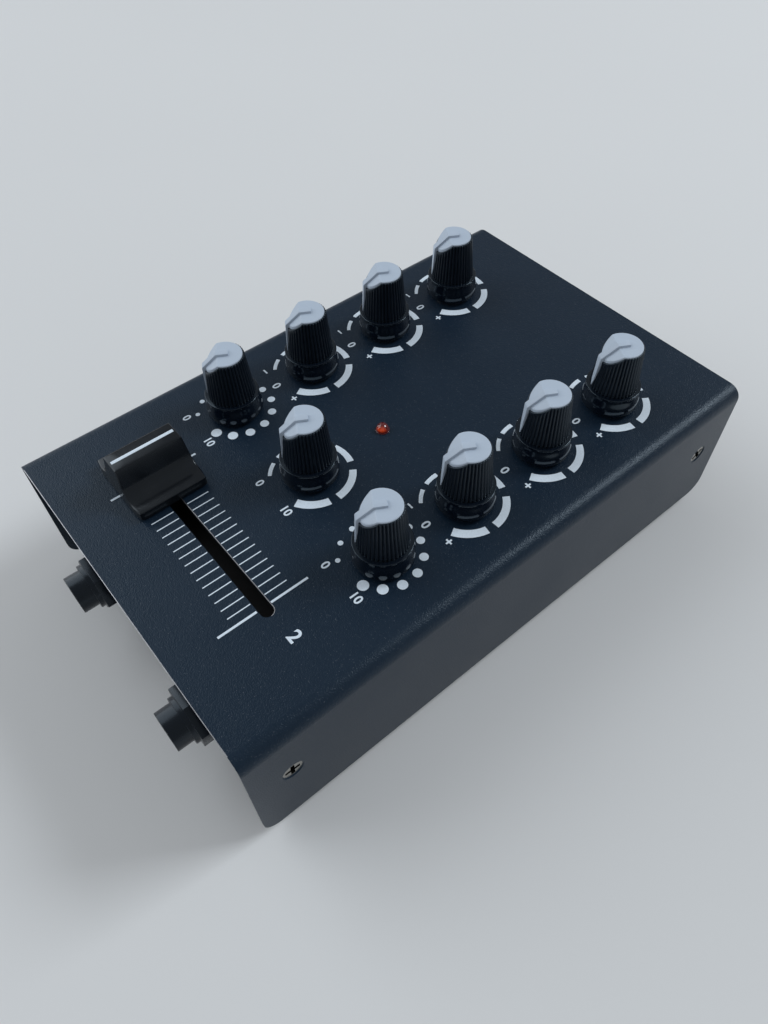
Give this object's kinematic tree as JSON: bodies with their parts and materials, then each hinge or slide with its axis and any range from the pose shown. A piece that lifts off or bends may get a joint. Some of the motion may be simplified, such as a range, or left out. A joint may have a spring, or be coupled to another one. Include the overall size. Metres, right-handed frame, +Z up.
{
  "type": "dj mixer",
  "caption": "Small tabletop DJ mixer: folded steel case with rotary dials on the top, a crossfader, front jack sockets and rear phono sockets.",
  "frame": {"origin": "on the table under the middle of the mixer", "axes": "+X to the user's right, +Y from the front panel with the jacks to the rear, +Z up"},
  "size_m": [0.108, 0.1824, 0.067],
  "materials": {
    "case_paint": "fine-grained powder coat, semi-matt",
    "tray_paint": "fine-grained powder coat, semi-matt",
    "knob_black": "satin moulded plastic",
    "pointer_grey": "satin moulded plastic",
    "cap_black": "glossy moulded plastic",
    "shaft_metal": "turned, bright",
    "pot_case": "plated sheet",
    "nickel": "nickel plate",
    "foot_rubber": "soft matt rubber",
    "board_green": "solder resist",
    "cable_grey": "ribbed insulation",
    "light_red": "clear moulded resin",
    "jack_black": "satin moulded plastic",
    "socket_black": "satin moulded plastic",
    "socket_white": "glossy moulded plastic"
  },
  "bodies": {
    "case": {"mic_pot": "pot_case", "headphone_pot": "pot_case", "master_pot": "pot_case", "low_1_pot": "pot_case", "low_2_pot": "pot_case", "high_1_pot": "pot_case", "high_2_pot": "pot_case", "gain_1_pot": "pot_case", "gain_2_pot": "pot_case", "pot_fixings": "nickel", "cover": "case_paint", "chassis": "tray_paint", "case_screws": "nickel", "rubber_feet": "foot_rubber", "main_board": "board_green", "io_board": "board_green", "flat_cables": "cable_grey", "crossfader_case": "pot_case", "power_light": "light_red", "mic_jack": "jack_black", "headphone_jack": "jack_black", "jack_nuts": "jack_black", "channel_1_sockets": "socket_black", "channel_2_sockets": "socket_black", "master_sockets": "socket_black", "socket_sleeves": "nickel", "socket_inserts": "socket_white", "power_inlet": "socket_black", "switch_cases": "pot_case"},
    "mic_dial": {"mic_knob": "knob_black", "mic_pointer": "pointer_grey", "mic_shaft": "shaft_metal"},
    "headphone_dial": {"headphone_knob": "knob_black", "headphone_pointer": "pointer_grey", "headphone_shaft": "shaft_metal"},
    "master_dial": {"master_knob": "knob_black", "master_pointer": "pointer_grey", "master_shaft": "shaft_metal"},
    "low_1_dial": {"low_1_knob": "knob_black", "low_1_pointer": "pointer_grey", "low_1_shaft": "shaft_metal"},
    "low_2_dial": {"low_2_knob": "knob_black", "low_2_pointer": "pointer_grey", "low_2_shaft": "shaft_metal"},
    "high_1_dial": {"high_1_knob": "knob_black", "high_1_pointer": "pointer_grey", "high_1_shaft": "shaft_metal"},
    "high_2_dial": {"high_2_knob": "knob_black", "high_2_pointer": "pointer_grey", "high_2_shaft": "shaft_metal"},
    "gain_1_dial": {"gain_1_knob": "knob_black", "gain_1_pointer": "pointer_grey", "gain_1_shaft": "shaft_metal"},
    "gain_2_dial": {"gain_2_knob": "knob_black", "gain_2_pointer": "pointer_grey", "gain_2_shaft": "shaft_metal"},
    "crossfader": {"crossfader_lever": "shaft_metal", "crossfader_cap": "cap_black"},
    "channel_1_slider": {"channel_1_switch": "socket_black"},
    "channel_2_slider": {"channel_2_switch": "socket_black"}
  },
  "joints": [
    {"name": "mic_turn", "type": "hinge", "parent": "case", "child": "mic_dial", "pos_m": [-0.0325, -0.0292, 0.046], "axis": [0, 0, 1], "range_deg": [-300, 0]},
    {"name": "headphone_turn", "type": "hinge", "parent": "case", "child": "headphone_dial", "pos_m": [0.0325, -0.0292, 0.046], "axis": [0, 0, 1], "range_deg": [-300, 0]},
    {"name": "master_turn", "type": "hinge", "parent": "case", "child": "master_dial", "pos_m": [0, -0.0271, 0.046], "axis": [0, 0, 1], "range_deg": [-300, 0]},
    {"name": "low_1_turn", "type": "hinge", "parent": "case", "child": "low_1_dial", "pos_m": [-0.0325, -0.0026, 0.046], "axis": [0, 0, 1], "range_deg": [-300, 0]},
    {"name": "low_2_turn", "type": "hinge", "parent": "case", "child": "low_2_dial", "pos_m": [0.0325, -0.0026, 0.046], "axis": [0, 0, 1], "range_deg": [-300, 0]},
    {"name": "high_1_turn", "type": "hinge", "parent": "case", "child": "high_1_dial", "pos_m": [-0.0325, 0.0248, 0.046], "axis": [0, 0, 1], "range_deg": [-300, 0]},
    {"name": "high_2_turn", "type": "hinge", "parent": "case", "child": "high_2_dial", "pos_m": [0.0325, 0.0248, 0.046], "axis": [0, 0, 1], "range_deg": [-300, 0]},
    {"name": "gain_1_turn", "type": "hinge", "parent": "case", "child": "gain_1_dial", "pos_m": [-0.0325, 0.0522, 0.046], "axis": [0, 0, 1], "range_deg": [-300, 0]},
    {"name": "gain_2_turn", "type": "hinge", "parent": "case", "child": "gain_2_dial", "pos_m": [0.0325, 0.0522, 0.046], "axis": [0, 0, 1], "range_deg": [-300, 0]},
    {"name": "crossfader_slide", "type": "slide", "parent": "case", "child": "crossfader", "axis": [1, 0, 0], "range_m": [0, 0.0512]},
    {"name": "channel_1_switch_slide", "type": "slide", "parent": "case", "child": "channel_1_slider", "axis": [1, 0, 0], "range_m": [0, 0.0035]},
    {"name": "channel_2_switch_slide", "type": "slide", "parent": "case", "child": "channel_2_slider", "axis": [1, 0, 0], "range_m": [0, 0.0035]}
  ]
}
